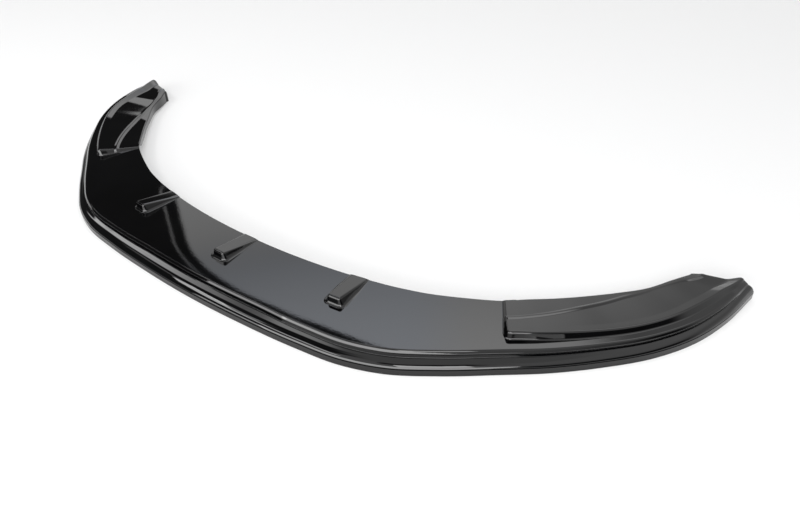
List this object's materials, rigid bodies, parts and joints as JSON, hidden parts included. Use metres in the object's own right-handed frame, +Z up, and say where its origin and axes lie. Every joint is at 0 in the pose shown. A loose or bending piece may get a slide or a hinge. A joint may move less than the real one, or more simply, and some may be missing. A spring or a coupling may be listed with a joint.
{
  "type": "front splitter lip",
  "caption": "Swept-back front splitter blade for a car, a thin glossy shell with a stepped edge, raised wing pads and wedge ramps along its rear edge.",
  "frame": {"origin": "middle of the part's box, on the floor under the bottom edge", "axes": "+X along the car's width, -Y towards the front of the car, +Z up"},
  "size_m": [1.7, 0.5904, 0.0519],
  "materials": {
    "gloss_black": "high gloss black"
  },
  "bodies": {
    "root": {"splitter_lip": "gloss_black"}
  },
  "joints": []
}
